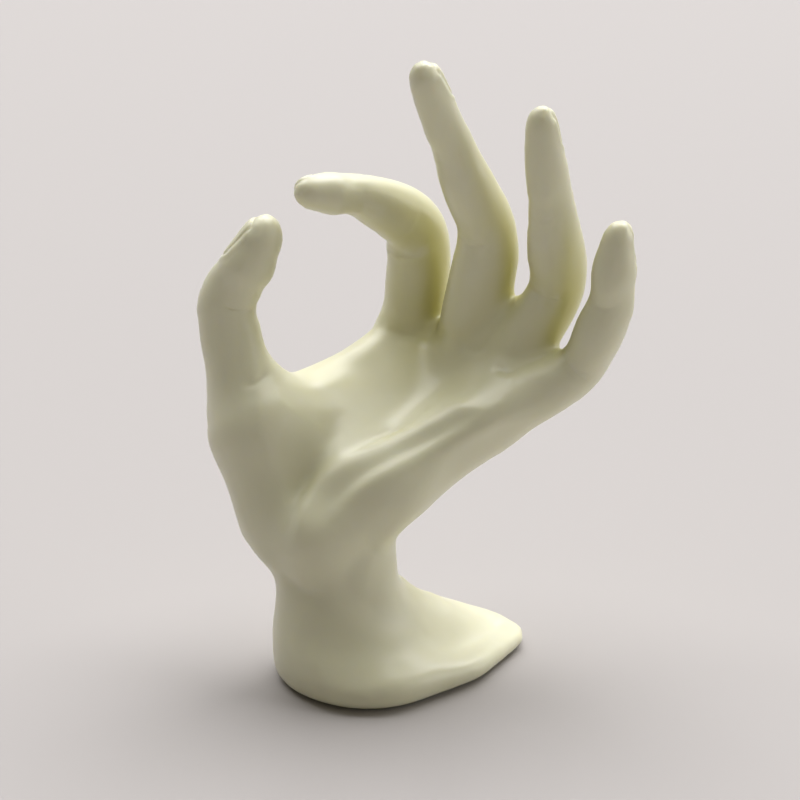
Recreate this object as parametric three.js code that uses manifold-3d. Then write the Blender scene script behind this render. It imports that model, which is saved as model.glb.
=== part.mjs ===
// A jewelry display hand: a slender left hand that rises from a flared foot, with
// the thumb and the index finger curled toward each other and the other fingers raised.
// Millimetres, +Z up. The origin is on the surface it stands on, under the wrist's axis.
// Seen from the front (-Y), the thumb is on the left and the foot's tail points right and back.

import * as THREE from "three";
import { mergeVertices, toCreasedNormals } from "three/addons/utils/BufferGeometryUtils.js";
import Module from "manifold-3d";

const wasm = await Module();
wasm.setup();

// Driving dimensions

// The foot's outline is a teardrop round three circles: the large one stands under the wrist.
const foot = {
  round: { x: 9, y: -4, radius: 24.3 },
  belly: { x: 24, y: 5, radius: 22.6 },
  tail: { x: 41.7, y: 15.5, radius: 13.2 },
  height: 18, // at the neck
  rimHeight: 4, // that the top would fall to far from the neck
  fall: 17.7, // how far out the height above that drops by two thirds
  edge: 4.2, // rounding of the upper edge
  tuck: 2.2, // how far the lower edge draws in
  tuckHeight: 5,
};
// The tail's upper face is dished inside a rim. The dish comes in along x between two places.
const dish = { depth: 3, rim: 3, slope: 7, from: 16, full: 34 };

// The neck is the narrowest place, and the wrist widens above it into the palm.
const neck = { height: 22, radius: 16.1 };
const wrist = { x: -2.7, y: 2.5, z: 37, radius: 15.6 };
const instep = { start: [2, 3, 18], end: [30, 16, 0], radii: [15, 11] }; // from the neck to the tail

// The underside, from the surface up.
const felt = { thickness: 1.2, protrusion: 0.7, inset: 5.5 };
const glueGap = 0.3;
const clearance = 0.3;
const plug = { x: 3, y: -1, radius: 12.5, thickness: 2.2 };
const ledge = 2; // width of the step that the plug seats against
const wall = 4; // least thickness of the casting around its hollow, at the neck
const hollowRise = 22; // from the neck to the top of the hollow
const ballastRise = 8; // from the neck to the top of the ballast
const turnedSides = 48; // sides of a turned piece
const domeSteps = 6;

// Each digit starts at its knuckle and has its bones' lengths, the way each bone points, the
// half thickness at each joint and at the fingertip, and how far its pads rise between joints.
const fingers = {
  index: {
    knuckle: [21, 46, 78.7],
    lengths: [39.2, 27.9, 17.3],
    aims: [[0.045, -0.15, 0.99], [-0.63, -0.65, 0.49], [-0.78, -0.58, 0.18]],
    radii: [8.4, 7.6, 5.8, 3.5],
    padRises: [1.8, 1.5, 1.6],
  },
  middle: {
    knuckle: [35.1, 31, 76.6],
    lengths: [45, 29.5, 23.2],
    aims: [[0.135, -0.16, 0.98], [-0.35, -0.41, 0.85], [-0.32, -0.4, 0.86]],
    radii: [9, 7.5, 5.8, 3.9],
    padRises: [1.3, 1.3, 1.3],
  },
  ring: {
    knuckle: [40.6, 18, 73.6],
    lengths: [37.7, 26.1, 27.2],
    aims: [[0.52, 0, 0.85], [-0.11, -0.38, 0.92], [-0.13, -0.29, 0.95]],
    radii: [7.8, 7, 5.7, 3.5],
    padRises: [1.4, 1.4, 2],
  },
  little: {
    knuckle: [41.5, 4.5, 73],
    lengths: [28.8, 22, 20.2],
    aims: [[0.87, 0.05, 0.5], [0.3, -0.27, 0.91], [0.05, -0.2, 0.97]],
    radii: [7.8, 6.6, 5.5, 3],
    padRises: [1, 2, 2.9],
  },
};
const thumb = {
  knuckle: [-26.4, 12, 75.7],
  lengths: [28.1, 22.8],
  aims: [[-0.135, 0.07, 0.99], [0.47, -0.08, 0.88]],
  radii: [8.8, 7, 4.3],
  padRises: [1, 4.4],
};
const fingerPadSide = [-0.66, -0.75, 0]; // the way the soft side of the fingers faces
const thumbPadSide = [0.85, -0.45, -0.25];
const pad = { from: 0.3, to: 0.72, fullness: 0.97 }; // shares of a bone's length and thickness
const spineSteps = 4; // short limbs to a bone

// The palm: a bone to each knuckle, with muscle at the thumb's and the little finger's side.
const carpus = { x: -2, y: 6, z: 44, spread: 17 };
const palmRadius = { wrist: 9, knuckle: 8.5 };
const thenar = { start: [-15, 4, 46], end: [-22.5, 8, 70], radii: [13, 12.5] };
const hypothenar = { start: [-4, -8, 45], bend: [15, -4, 57.6], radii: [10.5, 8.3] };
// A web of muscle fans out from the wrist to an edge that sags between the thumb and index finger.
const thumbWeb = { edge: [[-17, 14, 76], [-4, 26, 73], [17.5, 40, 84.5]], heel: [3, 0.5, 55.5], radius: 7 };
const palmHollow = { x: -6, y: -12, z: 116, radius: 47 };

// How softly the forms run into each other.
const blends = { footToWrist: 10, palm: 8, finger: 2.2, fingerToPalm: 6.5 };
const cell = 3.2; // spacing of the surface's mesh

// Distances: every form is a function of x, y, z that is negative inside

function mix(a, b, t) {
  return a + (b - a) * t;
}

function clamp01(t) {
  return Math.min(1, Math.max(0, t));
}

function pairs(points) {
  return points.slice(1).map((point, i) => [points[i], point]);
}

// A union of two distances, rounded where they meet.
function join(a, b, softness) {
  const h = Math.max(softness - Math.abs(a - b), 0) / softness;
  return Math.min(a, b) - (h * h * softness) / 4;
}

function cut(a, b, softness) {
  return -join(-a, b, softness);
}

// A round limb from one point to another, with a radius at each.
function limb([ax, ay, az], [bx, by, bz], ra, rb) {
  const dx = bx - ax;
  const dy = by - ay;
  const dz = bz - az;
  const length2 = dx * dx + dy * dy + dz * dz;
  return (x, y, z) => {
    const t = clamp01(((x - ax) * dx + (y - ay) * dy + (z - az) * dz) / length2);
    return Math.hypot(x - ax - dx * t, y - ay - dy * t, z - az - dz * t) - mix(ra, rb, t);
  };
}

// A flat triangle with rounded edges.
function sheet(corners, radius) {
  const triangle = new THREE.Triangle(...corners.map((corner) => new THREE.Vector3(...corner)));
  const point = new THREE.Vector3();
  const nearest = new THREE.Vector3();
  return (x, y, z) => {
    triangle.closestPointToPoint(point.set(x, y, z), nearest);
    return nearest.distanceTo(point) - radius;
  };
}

function joinAll(forms, softness) {
  return (x, y, z) => {
    let distance = forms[0](x, y, z);
    for (let i = 1; i < forms.length; i++) {
      distance = join(distance, forms[i](x, y, z), softness);
    }
    return distance;
  };
}

// The foot

// A flank is the straight line that touches two circles: the way from the first to the second,
// and the angle from there to the line's normal on either side.
function flank(a, b) {
  const run = Math.hypot(b.x - a.x, b.y - a.y);
  return { run, heading: Math.atan2(b.y - a.y, b.x - a.x), turn: Math.acos((a.radius - b.radius) / run) };
}

// The distance to two circles and the flanks between them.
function strap(a, b) {
  const { run, heading, turn } = flank(a, b);
  return (x, y) => {
    const along = (x - a.x) * Math.cos(heading) + (y - a.y) * Math.sin(heading);
    const across = Math.abs((y - a.y) * Math.cos(heading) - (x - a.x) * Math.sin(heading));
    const reach = along * Math.sin(turn) - across * Math.cos(turn);
    if (reach < 0) return Math.hypot(along, across) - a.radius;
    if (reach > run * Math.sin(turn)) return Math.hypot(along - run, across) - b.radius;
    return along * Math.cos(turn) + across * Math.sin(turn) - a.radius;
  };
}

const frontStrap = strap(foot.round, foot.belly);
const tailStrap = strap(foot.belly, foot.tail);

function footOutline(x, y) {
  return Math.min(frontStrap(x, y), tailStrap(x, y));
}

// The top runs down from the neck, steeply at first.
function footTop(x, y) {
  const outward = Math.max(Math.hypot(x, y) - neck.radius, 0);
  const level = foot.rimHeight + (foot.height - foot.rimHeight) * Math.exp(-outward / foot.fall);
  const inRim = THREE.MathUtils.smoothstep(-footOutline(x, y), dish.rim, dish.rim + dish.slope);
  return level - dish.depth * inRim * THREE.MathUtils.smoothstep(x, dish.from, dish.full);
}

const underside = felt.protrusion;

// The slab runs on below the underside, which is cut flat later.
function footSlab(x, y, z) {
  const top = footTop(x, y);
  const low = Math.max(0, 1 - z / foot.tuckHeight);
  const across = footOutline(x, y) + foot.tuck * low * low + foot.edge;
  const up = Math.abs(z) - top + foot.edge;
  return Math.hypot(Math.max(across, 0), Math.max(up, 0)) + Math.min(Math.max(across, up), 0) - foot.edge;
}

// The digits

function jointsOf({ knuckle, lengths, aims }) {
  const joints = [new THREE.Vector3(...knuckle)];
  aims.forEach((aim, i) => {
    const along = new THREE.Vector3(...aim).normalize();
    joints.push(joints[i].clone().addScaledVector(along, lengths[i]));
  });
  return joints;
}

// A digit is a row of short limbs along a smooth spine through its joints. Each bone has a pad
// along it that rises toward the digit's soft side.
function digit(sizes, padSide) {
  const { radii, padRises } = sizes;
  const joints = jointsOf(sizes);
  const bones = joints.length - 1;
  const spine = new THREE.CatmullRomCurve3(joints, false, "centripetal");
  const radiusAt = (t) => {
    const bone = Math.min(Math.floor(t * bones), bones - 1);
    return mix(radii[bone], radii[bone + 1], t * bones - bone);
  };
  const stops = Array.from({ length: bones * spineSteps + 1 }, (_, i) => i / (bones * spineSteps));
  const limbs = pairs(stops).map(([from, to]) =>
    limb(spine.getPoint(from).toArray(), spine.getPoint(to).toArray(), radiusAt(from), radiusAt(to)));
  const pads = padRises.map((rise, i) => {
    const [from, to] = [pad.from, pad.to].map((share) => (i + share) / bones);
    const along = joints[i + 1].clone().sub(joints[i]).normalize();
    const side = new THREE.Vector3(...padSide);
    side.addScaledVector(along, -side.dot(along)).normalize().multiplyScalar(rise);
    const [start, end] = [from, to].map((t) => spine.getPoint(t).add(side).toArray());
    return limb(start, end, radiusAt(from) * pad.fullness, radiusAt(to) * pad.fullness);
  });
  return joinAll([chain(limbs), ...pads], blends.finger);
}

// Limbs that follow on from each other are one form, with no swelling where they meet.
function chain(limbs) {
  return (x, y, z) => Math.min(...limbs.map((one) => one(x, y, z)));
}

// The palm and the wrist

const knuckles = Object.values(fingers).map(({ knuckle }) => knuckle);
const fan = new THREE.Vector3(...knuckles.at(-1)).sub(new THREE.Vector3(...knuckles[0])).normalize();
const palmBones = knuckles.map((knuckle, i) => {
  const offset = carpus.spread * (i / (knuckles.length - 1) - 0.5);
  const start = new THREE.Vector3(carpus.x, carpus.y, carpus.z).addScaledVector(fan, offset);
  return limb(start.toArray(), knuckle, palmRadius.wrist, palmRadius.knuckle);
});

const metacarpus = joinAll(palmBones, blends.palm);

function cuppedMetacarpus(x, y, z) {
  const bite = Math.hypot(x - palmHollow.x, y - palmHollow.y, z - palmHollow.z) - palmHollow.radius;
  return cut(metacarpus(x, y, z), bite, blends.palm);
}

const palm = joinAll([
  cuppedMetacarpus,
  limb(thenar.start, thenar.end, ...thenar.radii),
  limb(thenar.end, thumb.knuckle, thenar.radii[1], thumb.radii[0]),
  limb(hypothenar.start, hypothenar.bend, ...hypothenar.radii),
  limb(hypothenar.bend, fingers.little.knuckle, hypothenar.radii[1], palmRadius.knuckle),
  ...pairs(thumbWeb.edge).map((ends) => sheet([...ends, thumbWeb.heel], thumbWeb.radius)),
], blends.palm);

const column = joinAll([
  limb([0, 0, 0], [0, 0, neck.height], neck.radius, neck.radius),
  limb([0, 0, neck.height], [wrist.x, wrist.y, wrist.z], neck.radius, wrist.radius),
  limb(instep.start, instep.end, ...instep.radii),
], blends.finger);

function core(x, y, z) {
  const base = join(column(x, y, z), footSlab(x, y, z), blends.footToWrist);
  return join(base, palm(x, y, z), blends.palm);
}

const digits = [
  ...Object.values(fingers).map((finger) => digit(finger, fingerPadSide)),
  digit(thumb, thumbPadSide),
];

function hand(x, y, z) {
  let distance = core(x, y, z);
  for (const one of digits) {
    distance = join(distance, one(x, y, z), blends.fingerToPalm);
  }
  return distance;
}

// Meshing: one vertex in each grid cell that the surface passes through, moved onto the surface

const leastSteepness = 0.25; // keeps a step short where opposite slopes meet
const slopeStep = 0.05; // how far to either side a slope is measured
const snapRounds = 4;
const relaxRounds = 4;
const fillDepth = 0.03; // how far inside the surface a point that mends a diagonal is taken to be
const weldDistance = 1e-4;
const creaseAngle = THREE.MathUtils.degToRad(50); // a sharper edge than this is shown as an edge

function gradient(form, x, y, z) {
  const step = slopeStep;
  return [
    (form(x + step, y, z) - form(x - step, y, z)) / (2 * step),
    (form(x, y + step, z) - form(x, y - step, z)) / (2 * step),
    (form(x, y, z + step) - form(x, y, z - step)) / (2 * step),
  ];
}

// Moves a point down the form's slope until it lies on the surface.
function ontoSurface(form, point) {
  for (let round = 0; round < snapRounds; round++) {
    const slope = gradient(form, ...point);
    const steepness = Math.max(slope[0] ** 2 + slope[1] ** 2 + slope[2] ** 2, leastSteepness);
    const distance = form(...point);
    for (let axis = 0; axis < 3; axis++) {
      point[axis] -= (distance * slope[axis]) / steepness;
    }
  }
  return point;
}

const axes = [[1, 0, 0], [0, 1, 0], [0, 0, 1]];
const corners = [0, 1, 2, 3, 4, 5, 6, 7].map((n) => [n & 1, (n >> 1) & 1, (n >> 2) & 1]);

class Grid {
  constructor(form, box, size) {
    this.form = form;
    this.size = size;
    this.min = box.min.toArray();
    this.count = box.getSize(new THREE.Vector3()).toArray().map((span) => Math.ceil(span / size) + 1);
    this.value = new Float64Array(this.count[0] * this.count[1] * this.count[2]);
    this.each((i, j, k) => {
      this.value[this.at(i, j, k)] = form(...this.place(i, j, k));
    });
  }

  at(i, j, k) {
    return (k * this.count[1] + j) * this.count[0] + i;
  }

  place(i, j, k) {
    return [this.min[0] + i * this.size, this.min[1] + j * this.size, this.min[2] + k * this.size];
  }

  each(visit, margin = 0) {
    for (let k = 0; k < this.count[2] - margin; k++) {
      for (let j = 0; j < this.count[1] - margin; j++) {
        for (let i = 0; i < this.count[0] - margin; i++) {
          visit(i, j, k);
        }
      }
    }
  }

  inside(i, j, k) {
    return this.value[this.at(i, j, k)] < 0;
  }

  // Fills a point wherever two inside points would touch only across a square's or a cell's
  // diagonal, so that every edge of the surface has exactly two faces.
  mendDiagonals() {
    let filled = true;
    while (filled) {
      filled = false;
      this.each((i, j, k) => {
        for (const [a, b] of [[0, 1], [1, 2], [2, 0]]) {
          const square = [[0, 0], [1, 0], [1, 1], [0, 1]].map(([u, v]) => [
            i + axes[a][0] * u + axes[b][0] * v,
            j + axes[a][1] * u + axes[b][1] * v,
            k + axes[a][2] * u + axes[b][2] * v,
          ]);
          const [p, q, r, s] = square.map((point) => this.inside(...point));
          if (p === r && q === s && p !== q) {
            const outside = p ? square[1] : square[0];
            this.value[this.at(...outside)] = -fillDepth;
            filled = true;
          }
        }
      }, 1);
    }
  }

  cellVertex(i, j, k) {
    const sum = [0, 0, 0];
    let crossings = 0;
    for (const [cx, cy, cz] of corners) {
      for (const [dx, dy, dz] of axes) {
        if (cx + dx > 1 || cy + dy > 1 || cz + dz > 1) continue;
        const here = this.value[this.at(i + cx, j + cy, k + cz)];
        const there = this.value[this.at(i + cx + dx, j + cy + dy, k + cz + dz)];
        if (here < 0 === there < 0) continue;
        const t = here / (here - there);
        const [x, y, z] = this.place(i + cx, j + cy, k + cz);
        sum[0] += x + dx * t * this.size;
        sum[1] += y + dy * t * this.size;
        sum[2] += z + dz * t * this.size;
        crossings++;
      }
    }
    return crossings ? ontoSurface(this.form, sum.map((total) => total / crossings)) : null;
  }

  mesh() {
    this.mendDiagonals();
    const vertexOf = new Map();
    const positions = [];
    this.each((i, j, k) => {
      const vertex = this.cellVertex(i, j, k);
      if (!vertex) return;
      vertexOf.set(this.at(i, j, k), positions.length / 3);
      positions.push(...vertex);
    }, 1);
    const quads = this.quads(vertexOf);
    relax(this.form, positions, quads);
    const point = (n) => new THREE.Vector3().fromArray(positions, 3 * n);
    const triangles = quads.flatMap(([p, q, r, s]) => {
      const short = point(p).distanceTo(point(r)) < point(q).distanceTo(point(s));
      return short ? [p, q, r, p, r, s] : [p, q, s, q, r, s];
    });
    return new wasm.Manifold(new wasm.Mesh({
      numProp: 3,
      vertProperties: new Float32Array(positions),
      triVerts: new Uint32Array(triangles),
    }));
  }

  // One quad for each grid edge that the surface crosses, facing outward.
  quads(vertexOf) {
    const quads = [];
    this.each((i, j, k) => {
      axes.forEach(([dx, dy, dz], axis) => {
        const here = this.inside(i, j, k);
        if (here === this.inside(i + dx, j + dy, k + dz)) return;
        const [u, v] = [axes[(axis + 1) % 3], axes[(axis + 2) % 3]];
        const around = [[1, 1], [0, 1], [0, 0], [1, 0]].map(([a, b]) => vertexOf.get(
          this.at(i - a * u[0] - b * v[0], j - a * u[1] - b * v[1], k - a * u[2] - b * v[2]),
        ));
        quads.push(here ? around : around.reverse());
      });
    }, 1);
    return quads;
  }
}

// Evens the mesh out: each vertex moves to the middle of its neighbours and back onto the form.
function relax(form, positions, quads) {
  for (let round = 0; round < relaxRounds; round++) {
    const sums = new Float64Array(positions.length);
    const counts = new Uint16Array(positions.length / 3);
    for (const quad of quads) {
      quad.forEach((vertex, corner) => {
        const next = quad[(corner + 1) % 4];
        for (let axis = 0; axis < 3; axis++) {
          sums[3 * vertex + axis] += positions[3 * next + axis];
          sums[3 * next + axis] += positions[3 * vertex + axis];
        }
        counts[vertex]++;
        counts[next]++;
      });
    }
    counts.forEach((count, vertex) => {
      const middle = [0, 1, 2].map((axis) => sums[3 * vertex + axis] / count);
      ontoSurface(form, middle).forEach((value, axis) => {
        positions[3 * vertex + axis] = value;
      });
    });
  }
}

function solidOf(form, box, size) {
  return new Grid(form, box, size).mesh();
}

// Solids to and from geometry

function toSolid(geometry) {
  const bare = geometry.index ? geometry.toNonIndexed() : geometry;
  bare.deleteAttribute("normal");
  bare.deleteAttribute("uv");
  const merged = mergeVertices(bare, weldDistance);
  const triangles = [];
  for (let i = 0; i < merged.index.count; i += 3) {
    const [a, b, c] = [0, 1, 2].map((n) => merged.index.getX(i + n));
    if (a !== b && b !== c && c !== a) triangles.push(a, b, c);
  }
  return new wasm.Manifold(new wasm.Mesh({
    numProp: 3,
    vertProperties: new Float32Array(merged.attributes.position.array),
    triVerts: new Uint32Array(triangles),
  }));
}

function toGeometry(solid) {
  const { vertProperties, triVerts } = solid.getMesh();
  const geometry = new THREE.BufferGeometry();
  geometry.setAttribute("position", new THREE.BufferAttribute(new Float32Array(vertProperties), 3));
  geometry.setIndex(new THREE.BufferAttribute(new Uint32Array(triVerts), 1));
  return toCreasedNormals(geometry, creaseAngle);
}

// The foot's outline, drawn in by an inset, between two heights.
function footPlate(inset, bottom, top) {
  const { round, belly, tail } = foot;
  const front = flank(round, belly);
  const back = flank(belly, tail);
  const shape = new THREE.Shape();
  const arc = ({ x, y, radius }, from, to) => shape.absarc(x, y, radius - inset, from, to, false);
  arc(round, front.heading + front.turn, front.heading - front.turn + 2 * Math.PI);
  arc(belly, front.heading - front.turn, back.heading - back.turn);
  arc(tail, back.heading - back.turn, back.heading + back.turn);
  arc(belly, back.heading + back.turn, front.heading + front.turn);
  shape.closePath();
  const geometry = new THREE.ExtrudeGeometry(shape, {
    depth: top - bottom,
    bevelEnabled: false,
    curveSegments: turnedSides / 4,
  });
  return geometry.translate(0, 0, bottom);
}

// A round plate on the plug's axis.
function disc(radius, bottom, top) {
  const geometry = new THREE.CylinderGeometry(radius, radius, top - bottom, turnedSides);
  return geometry.rotateX(Math.PI / 2).translate(plug.x, plug.y, (bottom + top) / 2);
}

// A solid turned about the plug's axis, from a profile of radii and heights.
function revolve(profile) {
  const points = profile.map(([radius, z]) => new THREE.Vector2(radius, z));
  const geometry = new THREE.LatheGeometry(points, turnedSides);
  return geometry.rotateX(Math.PI / 2).translate(plug.x, plug.y, 0);
}

// Everything in a box that is lower than a height.
function below(height, { min, max }) {
  const geometry = new THREE.BoxGeometry(max.x - min.x, max.y - min.y, height - min.z);
  return geometry.translate((min.x + max.x) / 2, (min.y + max.y) / 2, (min.z + height) / 2);
}

// Heights of the parts under the foot

const feltTop = felt.thickness;
const recessTop = feltTop + glueGap;
const plugTop = recessTop + plug.thickness;
const ledgeHeight = plugTop + clearance;
const openingRadius = plug.radius - ledge;
const boreRadius = neck.radius - wall - Math.hypot(plug.x, plug.y);
const overcut = 1; // how far a cutter reaches past the face that it opens

// The pieces

// The box holds the foot's circles and every joint, with room round them for the thickest limb.
function boxAroundHand() {
  const box = new THREE.Box3().setFromPoints([...Object.values(fingers), thumb].flatMap(jointsOf));
  for (const { x, y, radius } of [foot.round, foot.belly, foot.tail]) {
    const reach = radius - neck.radius;
    box.expandByPoint(new THREE.Vector3(x - reach, y - reach, 0));
    box.expandByPoint(new THREE.Vector3(x + reach, y + reach, 0));
  }
  return box.expandByScalar(neck.radius + 2 * cell);
}

function makeHandCasting() {
  const box = boxAroundHand();
  return solidOf(hand, box, cell)
    .subtract(toSolid(below(underside, box)))
    .subtract(toSolid(hollowCore()))
    .subtract(toSolid(disc(plug.radius + clearance, underside - overcut, ledgeHeight)))
    .subtract(toSolid(footPlate(felt.inset - clearance, underside - overcut, recessTop)));
}

// The hollow narrows from the opening to the neck and ends in a dome.
function hollowCore() {
  const dome = Array.from({ length: domeSteps + 1 }, (_, step) => {
    const angle = (step / domeSteps) * (Math.PI / 2);
    const height = neck.height + hollowRise - boreRadius * (1 - Math.sin(angle));
    return [step < domeSteps ? boreRadius * Math.cos(angle) : 0, height];
  });
  return revolve([
    [0, ledgeHeight - overcut],
    [openingRadius, ledgeHeight - overcut],
    [openingRadius, ledgeHeight],
    [boreRadius, neck.height],
    ...dome,
  ]);
}

// The ballast is poured into the hollow and sets with a flat top.
function makeBallast() {
  return revolve([
    [0, ledgeHeight],
    [openingRadius - clearance, ledgeHeight],
    [boreRadius - clearance, neck.height],
    [boreRadius - clearance, neck.height + ballastRise],
    [0, neck.height + ballastRise],
  ]);
}

// Materials

const gloss = new THREE.MeshStandardMaterial({ color: 0xd9d8c0, roughness: 0.25, metalness: 0 });
const stone = new THREE.MeshStandardMaterial({ color: 0xb9b4aa, roughness: 0.9, metalness: 0 });
const plastic = new THREE.MeshStandardMaterial({ color: 0xc9c6b4, roughness: 0.5, metalness: 0 });
const cloth = new THREE.MeshStandardMaterial({ color: 0xbdb8a6, roughness: 1, metalness: 0 });

function piece(name, geometry, material) {
  const mesh = new THREE.Mesh(geometry, material);
  mesh.name = name;
  return mesh;
}

const displayHand = new THREE.Group();
displayHand.add(
  piece("hand_casting", toGeometry(makeHandCasting()), gloss),
  piece("ballast", makeBallast(), stone),
  piece("closing_plug", disc(plug.radius, recessTop, plugTop), plastic),
  piece("felt_pad", footPlate(felt.inset, 0, feltTop), cloth),
);

export default displayHand;
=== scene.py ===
# %% [markdown]
# # A glossy display hand
#
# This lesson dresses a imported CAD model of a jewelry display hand. The real object is one
# casting of ivory resin: a slender left hand that grows out of a flared foot, with its thumb
# and index finger curled toward each other. A poured filler, a plug and a felt pad close the
# foot from below. The CAD model has every piece at its real size. It is faceted, and it has
# no nails and no skin folds, so the casting is modelled again here over the same form.
#
# The frame is loaded first. Everything that follows is in metres and in its axes: Z up, X
# toward the little finger, and the viewer who looks at the palm is on the -Y side.

# %% Load the frame
import math

import bpy
import numpy as np
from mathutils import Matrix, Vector
from mathutils.bvhtree import BVHTree


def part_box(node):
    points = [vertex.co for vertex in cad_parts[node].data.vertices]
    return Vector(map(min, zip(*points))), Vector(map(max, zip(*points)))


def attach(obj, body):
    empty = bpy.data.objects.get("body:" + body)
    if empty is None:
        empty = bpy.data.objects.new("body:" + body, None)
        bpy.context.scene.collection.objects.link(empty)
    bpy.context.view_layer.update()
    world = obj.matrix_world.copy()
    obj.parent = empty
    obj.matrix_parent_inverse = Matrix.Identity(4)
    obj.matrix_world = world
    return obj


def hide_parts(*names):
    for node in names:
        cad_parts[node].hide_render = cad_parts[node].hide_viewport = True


MM = 0.001

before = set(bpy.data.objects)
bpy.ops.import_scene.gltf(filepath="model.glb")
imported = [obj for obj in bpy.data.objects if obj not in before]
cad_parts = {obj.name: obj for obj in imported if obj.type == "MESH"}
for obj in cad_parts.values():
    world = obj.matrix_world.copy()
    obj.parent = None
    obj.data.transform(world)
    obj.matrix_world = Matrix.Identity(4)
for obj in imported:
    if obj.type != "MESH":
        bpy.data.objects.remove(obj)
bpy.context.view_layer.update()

# %% [markdown]
# The photograph looks down at the hand by 19 degrees from close by. A long lens of 80 mm at
# 471 mm gives its perspective: the foot's near edge is larger than the raised fingers behind
# it. The camera comes before the modelling because the skin's folds are placed through it.

# %% The camera
CAMERA_LENS = 80
CAMERA_DISTANCE = 471 * MM
CAMERA_DOWN = math.radians(19)
CAMERA_TARGET = Vector((17.5, -4, 81.18)) * MM
FRAME_SIDE = 800  # pixels of the photograph's square frame
SENSOR_WIDTH = 36

camera_data = bpy.data.cameras.new("camera")
camera_data.lens = CAMERA_LENS
camera_data.sensor_width = SENSOR_WIDTH
camera_data.clip_start = 0.01
camera = bpy.data.objects.new("camera", camera_data)
bpy.context.scene.collection.objects.link(camera)
bpy.context.scene.camera = camera
toward_camera = Vector((0, -math.cos(CAMERA_DOWN), math.sin(CAMERA_DOWN)))
camera.location = CAMERA_TARGET + toward_camera * CAMERA_DISTANCE
camera.rotation_euler = (math.pi / 2 - CAMERA_DOWN, 0, 0)
print("camera at", [round(value, 3) for value in camera.location])

# %% [markdown]
# An operator acts on all that is selected, and the frame's nodes come in selected. Small helpers
# keep that tidy: one selects a single object, one runs a mesh operator on all of its mesh, and
# one applies its modifiers in turn.

# %% Helpers for operators
def select_only(obj):
    """Leaves obj as the one selected and active object."""
    bpy.ops.object.select_all(action="DESELECT")
    obj.select_set(True)
    bpy.context.view_layer.objects.active = obj


def edit_all(obj, operator, **settings):
    """Runs a mesh operator on the whole mesh of obj."""
    select_only(obj)
    bpy.ops.object.mode_set(mode="EDIT")
    bpy.ops.mesh.select_all(action="SELECT")
    operator(**settings)
    bpy.ops.mesh.select_all(action="DESELECT")
    bpy.ops.object.mode_set(mode="OBJECT")


def apply_modifiers(obj):
    """Applies every modifier of obj, first to last."""
    select_only(obj)
    for modifier in list(obj.modifiers):
        bpy.ops.object.modifier_apply(modifier=modifier.name)


def count(obj):
    """The number of triangles that obj's mesh makes."""
    return sum(len(face.vertices) - 2 for face in obj.data.polygons)


# %% [markdown]
# ## The skin
#
# The casting is one closed skin with no seams, so it isn't put together from parts. Sculptors
# start such a form from a rough clay and refine it. The clay here is a copy of the CAD
# casting. Its loose triangles are merged and turned back into quads, and Subdivision Surface
# rounds the facets away. Retopologising by hand would give cleaner loops, but a resin skin
# that never bends doesn't need them.

# %% The rough clay
MERGE_DISTANCE = 0.002 * MM
QUAD_ANGLE = math.radians(60)  # how far two triangles may be from making a quad


def copy_of_node(node, name):
    """A separate, merged copy of a CAD node's mesh."""
    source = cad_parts[node]
    obj = bpy.data.objects.new(name, source.data.copy())
    bpy.context.scene.collection.objects.link(obj)
    edit_all(obj, bpy.ops.mesh.remove_doubles, threshold=MERGE_DISTANCE)
    obj.data.materials.clear()
    return obj


skin = copy_of_node("hand_casting", "hand_skin")
edit_all(skin, bpy.ops.mesh.tris_convert_to_quads, face_threshold=QUAD_ANGLE, shape_threshold=QUAD_ANGLE)
rounding = skin.modifiers.new("rounding", "SUBSURF")
rounding.levels = 2
rounding.render_levels = 2
apply_modifiers(skin)
print("rough clay:", count(skin), "triangles")

# %% [markdown]
# Subdividing draws the thin fingertips in, and the CAD facets leave the fingers a little
# uneven. So each digit is built up again over the clay, on the same spine as in CAD: a smooth
# curve through its joints. A Bezier curve with a bevel makes the tube, because each of its
# points carries its own radius, and a ball closes each end.

# %% The digits' spines
# knuckle in mm, then for each bone its length and the way it points, the half thickness at
# each joint and at the tip, and the way the soft side faces
DIGITS = {
    "index": {
        "knuckle": (21, 46, 78.7),
        "lengths": (39.2, 27.9, 17.3),
        "aims": ((0.045, -0.15, 0.99), (-0.63, -0.65, 0.49), (-0.78, -0.58, 0.18)),
        "radii": (8.5, 7.7, 5.9, 3.4),
        "soft_side": (-0.66, -0.75, 0),
    },
    "middle": {
        "knuckle": (35.1, 31, 76.6),
        "lengths": (45, 29.5, 23.2),
        "aims": ((0.135, -0.16, 0.98), (-0.35, -0.41, 0.85), (-0.32, -0.4, 0.86)),
        "radii": (9.1, 7.6, 5.9, 3.7),
        "soft_side": (-0.66, -0.75, 0),
    },
    "ring": {
        "knuckle": (40.6, 18, 73.6),
        "lengths": (37.7, 26.1, 27.2),
        "aims": ((0.52, 0, 0.85), (-0.11, -0.38, 0.92), (-0.13, -0.29, 0.95)),
        "radii": (7.9, 7.1, 5.8, 3.4),
        "soft_side": (-0.66, -0.75, 0),
    },
    "little": {
        "knuckle": (41.5, 4.5, 73),
        "lengths": (28.8, 22, 20.2),
        "aims": ((0.87, 0.05, 0.5), (0.3, -0.27, 0.91), (0.05, -0.2, 0.97)),
        "radii": (7.9, 6.7, 5.6, 2.9),
        "soft_side": (-0.66, -0.75, 0),
    },
    "thumb": {
        "knuckle": (-26.4, 12, 75.7),
        "lengths": (28.1, 22.8),
        "aims": ((-0.135, 0.07, 0.99), (0.47, -0.08, 0.88)),
        "radii": (8.9, 7.1, 3.9),
        "soft_side": (0.85, -0.45, -0.25),
    },
}
SPINE_STEPS = 6  # points of the curve to a bone


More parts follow.
